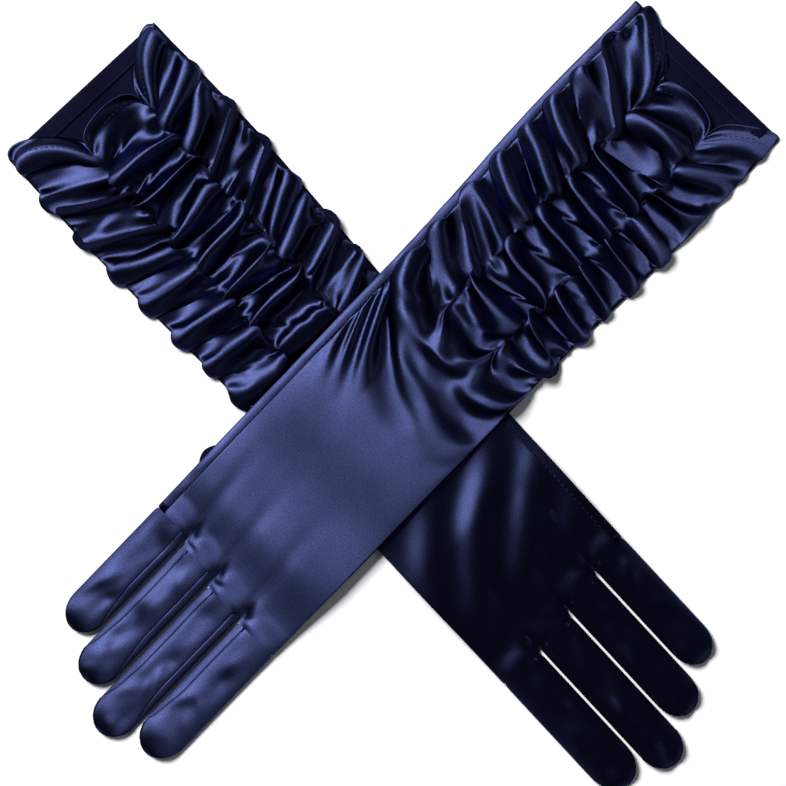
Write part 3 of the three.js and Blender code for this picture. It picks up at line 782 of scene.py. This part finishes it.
def finger(g, spec, rng, made):
    """A finger's back, fourchettes and palm side."""
    name, v0, v1, root, length, sides = spec
    width, middle, start = v1 - v0, (v0 + v1) / 2, ARM_LENGTH + root
    along = SEAM_GAP / 2 + (length - SEAM_GAP / 2) * np.sin(np.linspace(0, np.pi / 2, 40)) ** 0.9
    along[0] = 0
    edge = stall_half(along, width, length) * 0.995 + 0.02
    left = np.clip((0.8 - along / length) * length + 2, 0, None)
    strip = FOURCHETTE * np.minimum(1, left / 20) ** 0.5
    low = -edge + (strip if -1 in sides else 0)
    high = edge - (strip if 1 in sides else 0)
    lumps = [(rng.uniform(-1, 1), rng.uniform(0.05, 0.95) * length, rng.uniform(-0.3, 0.3) * width,
              rng.uniform(4, 13), rng.uniform(2.5, 5), rng.uniform(-0.5, 0.5)) for _ in range(22)]

    def bend(obj):
        """Bakes a piece's placement into its mesh, hides its CAD node and keeps it by name."""
        near = g.world(np.array([start, middle, FINGER_TOP + 0.05]))
        far = g.world(np.array([start + FOLD_LENGTH, middle, FINGER_TOP + 0.05]))
        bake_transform(obj)
        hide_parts(f"{g.name}_{plain_name(g, obj)}")
        made[plain_name(g, obj)] = obj

    def surface(a, b, count, piece):
        """The finger's top between two edges, with soft lumps and a dip at each seam."""
        W = a[:, None] + (b - a)[:, None] * np.linspace(0, 1, count)
        A = np.repeat(along[:, None], count, 1)
        creases = np.zeros(A.shape)
        for size, at, aside, long, wide, slant in lumps:
            d, e = A - at, W - aside - slant * (A - at)
            creases += 0.95 * size * np.exp(-((d / long) ** 2) - (e / wide) ** 2)
        Z = stall_top(A, W, width, length, FINGER_TOP)
        Z = Z + creases * smooth(A / 14) * np.clip(1 - (2 * W / width) ** 2, 0, 1)
        seam = np.minimum(np.abs(W - low[:, None]), np.abs(W - high[:, None]))
        Z -= 0.35 * np.exp(-((seam / 0.7) ** 2)) * smooth((edge[:, None] - np.abs(W)) / 1.2)
        Z = np.maximum(Z - crotches(start + A, middle + W), LOWEST)
        grid = drape(g, np.stack([start + A, middle + W, Z], -1))
        bend(cloth(g, piece, grid, crisp=0))

    surface(low, high, 13, f"{name}_back")
    for side in sides:
        if side > 0:
            surface(high, edge, 5, f"{name}_fourchette_thumb_side")
        else:
            surface(-edge, low, 5, f"{name}_fourchette_little_side")
    t = np.linspace(-1, 1, 13)
    A = np.repeat(along[:, None], 13, 1)
    W = edge[:, None] * t
    Z = 0.55 + 0.35 * np.abs(t) ** 6 + 0 * A
    P = drape(g, np.stack([start + A, middle + W, Z], -1))
    bend(cloth(g, f"{name}_palm", P, thick=0.4, materials=(INSIDE, SATIN)))


def thumb_reach(g):
    """Length of a thumb. The upper glove's shows past the edge and the lower one's doesn't."""
    return THUMB_FOLD + float(half(THUMB_AT)) + (THUMB_SHOWS if g.under else -THUMB_HIDES)


def thumb(g, made):
    """The thumb, folded flat under the palm, and the gusset round its hole."""
    reach = thumb_reach(g)
    along = reach * np.sin(np.linspace(0, np.pi / 2, 40)) ** 0.9
    edge = stall_half(along, THUMB_WIDTH, reach) * 0.995 + 0.02
    t = np.linspace(-1, 1, 13)
    A = np.repeat(along[:, None], 13, 1)
    W = edge[:, None] * t
    Z = stall_top(A, W, THUMB_WIDTH, reach, THUMB_TOP)
    upper = np.stack([THUMB_AT + W, THUMB_FOLD - A, Z], -1)[:, ::-1]
    lower = upper.copy()
    lower[..., 2] = 0.5 + 0.3 * np.abs(t) ** 6
    uv = np.stack([W, A], -1)
    top = cloth(g, "thumb_upper", upper, uv, thick=0.3)
    bottom = cloth(g, "thumb_lower", lower, uv, thick=0.4, materials=(INSIDE, SATIN))
    S = np.repeat(np.linspace(-9.5, 9.5, 20)[:, None], 18, 1)
    V = np.repeat(np.linspace(0, 17, 18)[None], 20, 0)
    grid = np.stack([THUMB_AT + S, THUMB_FOLD + V, 4.9 - 0.3 * (S / 9.5) ** 2], -1)
    centre = (grid[:-1, :-1] + grid[1:, 1:]) / 2
    hole = np.hypot(centre[..., 0] - THUMB_AT, centre[..., 1] - HOLE_AT) < HOLE_RADIUS - 0.8
    gusset = cloth(g, "thumb_gusset", grid, thick=0.25, drop=hole)
    for obj, body in ((top, "thumb"), (bottom, "thumb"), (gusset, "hand")):
        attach(obj, f"{g.name}_{body}")
        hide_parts(f"{g.name}_{plain_name(g, obj)}")
        made[plain_name(g, obj)] = obj


left, right = make_glove(LEFT), make_glove(RIGHT)
def declare_sheets(g):
    thumb_cut = (THUMB_WIDTH / 1000, thumb_reach(g) / 1000)


declare_sheets(LEFT)
declare_sheets(RIGHT)

# ---------------------------------------------------------------- studio
floor_mat, tree, shader = nodes_of("table")
speck = tree.nodes.new("ShaderNodeTexNoise")
speck.inputs["Scale"].default_value = 60
tint = tree.nodes.new("ShaderNodeValToRGB")
tint.color_ramp.elements[0].color = (0.93, 0.93, 0.935, 1)
tint.color_ramp.elements[1].color = (0.95, 0.95, 0.95, 1)
link(tree, speck, "Fac", tint, "Fac")
link(tree, tint, "Color", shader, "Base Color")
shader.inputs["Roughness"].default_value = 0.9
bpy.ops.mesh.primitive_plane_add(size=8, location=(0, 0, -0.0004))
table = bpy.context.object
table.name = "table"
table.data.materials.append(floor_mat)

world = bpy.data.worlds.new("studio")
bpy.context.scene.world = world
world.use_nodes = True
world.node_tree.nodes["Background"].inputs["Color"].default_value = (0.75, 0.82, 1.0, 1)
world.node_tree.nodes["Background"].inputs["Strength"].default_value = 0.08


def area_light(name, azimuth, tilt, distance, size, power, color=(1, 1, 1)):
    """A soft light, tilt degrees from straight above, in the direction azimuth."""
    light = bpy.data.lights.new(name, "AREA")
    light.energy, light.color = power, color
    light.shape, light.size, light.size_y = "RECTANGLE", size[0], size[1]
    obj = bpy.data.objects.new(name, light)
    a, t = math.radians(azimuth), math.radians(tilt)
    away = Vector((math.cos(a) * math.sin(t), math.sin(a) * math.sin(t), math.cos(t)))
    obj.location = away * distance
    obj.rotation_euler = away.to_track_quat("Z", "Y").to_euler()
    bpy.context.collection.objects.link(obj)
    return obj


area_light("key", 182, 42, 2.6, (1.15, 1.15), 112)
area_light("fill", 30, 60, 2.2, (0.8, 0.8), 4)

camera = bpy.data.cameras.new("camera")
view = bpy.data.objects.new("camera", camera)
bpy.context.collection.objects.link(view)
camera.sensor_width = 36
camera.lens = 200
distance = 0.3694 * camera.lens / camera.sensor_width
view.location = (-0.0064, -0.0028, distance)
view.rotation_euler = (0, 0, math.radians(47.15))
camera.clip_end = 20
bpy.context.scene.camera = view
bpy.context.scene.view_settings.view_transform = "Standard"
